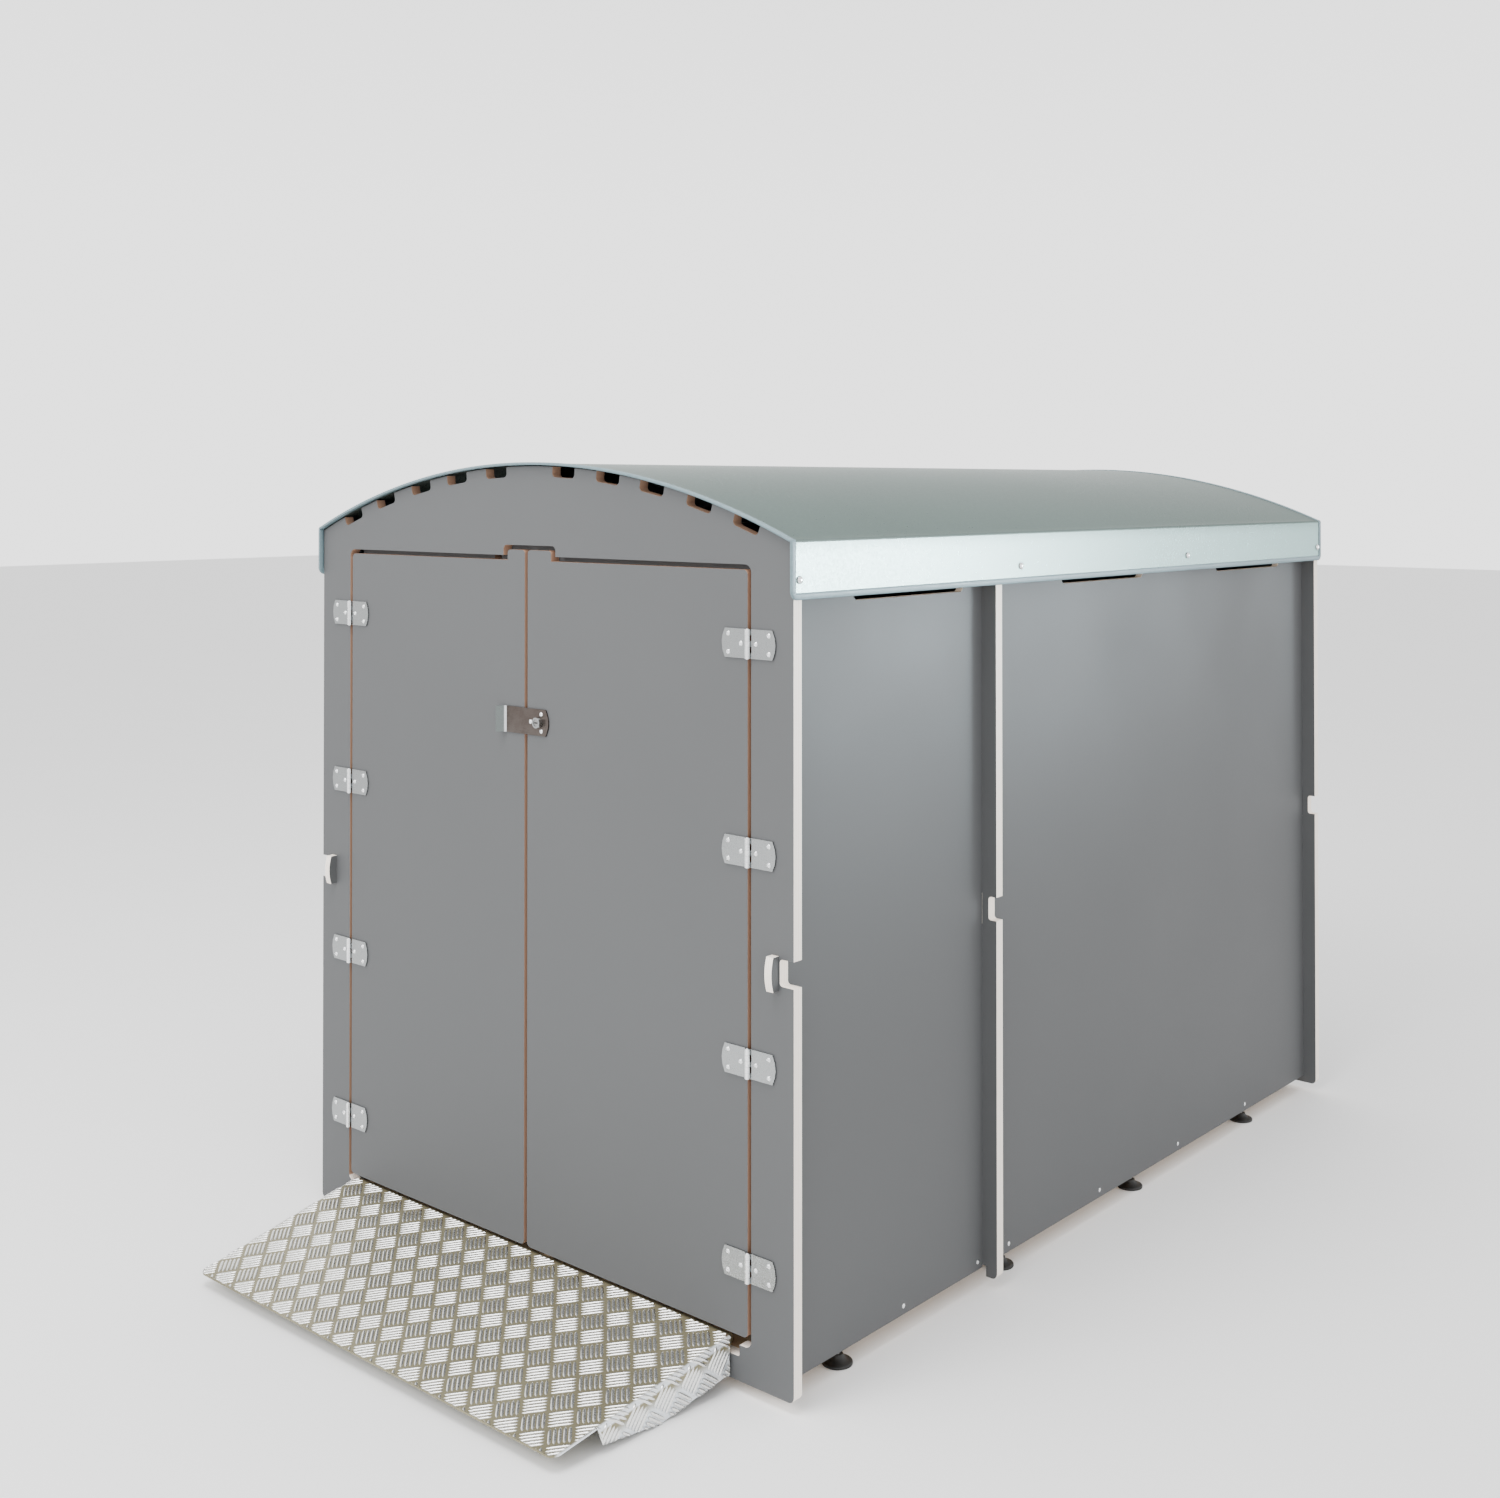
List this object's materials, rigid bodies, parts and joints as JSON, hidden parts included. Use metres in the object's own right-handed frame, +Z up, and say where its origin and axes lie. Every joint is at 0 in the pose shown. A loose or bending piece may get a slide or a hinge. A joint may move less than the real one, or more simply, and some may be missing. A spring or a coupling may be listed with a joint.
{
  "type": "animal shelter",
  "caption": "Lockable walk-in shelter with grey plywood walls, curved metal roof, double doors, tread-plate ramp and levelling feet.",
  "frame": {"origin": "centre of the whole object's bounding box in plan, at ground level under the feet", "axes": "doors and ramp face -Y, +Z up, +X on the right-hand side of someone who faces the doors from the front"},
  "size_m": [1.3168, 2.501, 1.5795],
  "materials": {
    "panel": "smooth grey phenolic film on plywood, satin",
    "plain_wood": "bare birch plywood and sawn softwood",
    "roof": "satin grey-green coated sheet",
    "trim": "ribbed blue-grey edge profile",
    "zinc": "bright zinc plate",
    "steel": "brushed stainless",
    "black_plastic": "moulded black polyamide",
    "aluminium": "mill-finish five-bar tread plate"
  },
  "bodies": {
    "shelter": {"front_portal": "panel", "mid_portal": "panel", "rear_portal": "panel", "side_panel_front_left": "panel", "side_panel_rear_left": "panel", "eave_batten_front_left": "plain_wood", "eave_batten_rear_left": "plain_wood", "roof_bolt_left_1": "zinc", "hinge_left_1_frame_leaf": "zinc", "foot_left_1": "black_plastic", "roof_bolt_left_2": "zinc", "hinge_left_2_frame_leaf": "zinc", "foot_left_2": "black_plastic", "roof_bolt_left_3": "zinc", "hinge_left_3_frame_leaf": "zinc", "foot_left_3": "black_plastic", "roof_bolt_left_4": "zinc", "hinge_left_4_frame_leaf": "zinc", "foot_left_4": "black_plastic", "side_panel_front_right": "panel", "side_panel_rear_right": "panel", "eave_batten_front_right": "plain_wood", "eave_batten_rear_right": "plain_wood", "roof_bolt_right_1": "zinc", "hinge_right_1_frame_leaf": "zinc", "foot_right_1": "black_plastic", "roof_bolt_right_2": "zinc", "hinge_right_2_frame_leaf": "zinc", "foot_right_2": "black_plastic", "roof_bolt_right_3": "zinc", "hinge_right_3_frame_leaf": "zinc", "foot_right_3": "black_plastic", "roof_bolt_right_4": "zinc", "hinge_right_4_frame_leaf": "zinc", "foot_right_4": "black_plastic", "floor_panel": "plain_wood", "door_stop_left": "panel", "door_stop_right": "panel", "roof_sheet": "roof", "roof_edge_trim": "trim"},
    "right_door": {"door_right": "panel", "lock_plate": "steel", "lock_cylinder": "zinc", "hinge_right_1_door_leaf": "zinc", "hinge_right_2_door_leaf": "zinc", "hinge_right_3_door_leaf": "zinc", "hinge_right_4_door_leaf": "zinc"},
    "left_door": {"door_left": "panel", "shoot_bolt_case": "zinc", "hinge_left_1_door_leaf": "zinc", "hinge_left_2_door_leaf": "zinc", "hinge_left_3_door_leaf": "zinc", "hinge_left_4_door_leaf": "zinc"},
    "lock": {"lock_plug": "steel"},
    "door_bolt": {"shoot_bolt": "steel"},
    "ramp": {"ramp": "aluminium"}
  },
  "joints": [
    {"name": "right_door_swing", "type": "hinge", "parent": "shelter", "child": "right_door", "pos_m": [0.553, -0.8735, 0.742], "axis": [0, 0, 1], "range_deg": [0, 165]},
    {"name": "left_door_swing", "type": "hinge", "parent": "shelter", "child": "left_door", "pos_m": [-0.553, -0.8735, 0.742], "axis": [0, 0, -1], "range_deg": [0, 165]},
    {"name": "lock_turn", "type": "hinge", "parent": "right_door", "child": "lock", "pos_m": [0.031, -0.8685, 1.089], "axis": [0, -1, 0], "range_deg": [0, 90]},
    {"name": "door_bolt_slide", "type": "slide", "parent": "left_door", "child": "door_bolt", "axis": [0, 0, 1], "range_m": [0, 0.025]},
    {"name": "ramp_tilt", "type": "hinge", "parent": "shelter", "child": "ramp", "pos_m": [0, -0.86439, 0.07548], "axis": [-1, 0, 0], "range_deg": [0, 45]}
  ],
  "couplings": [
    {"joint": "left_door_swing", "follows": "right_door_swing", "ratio": 1}
  ]
}
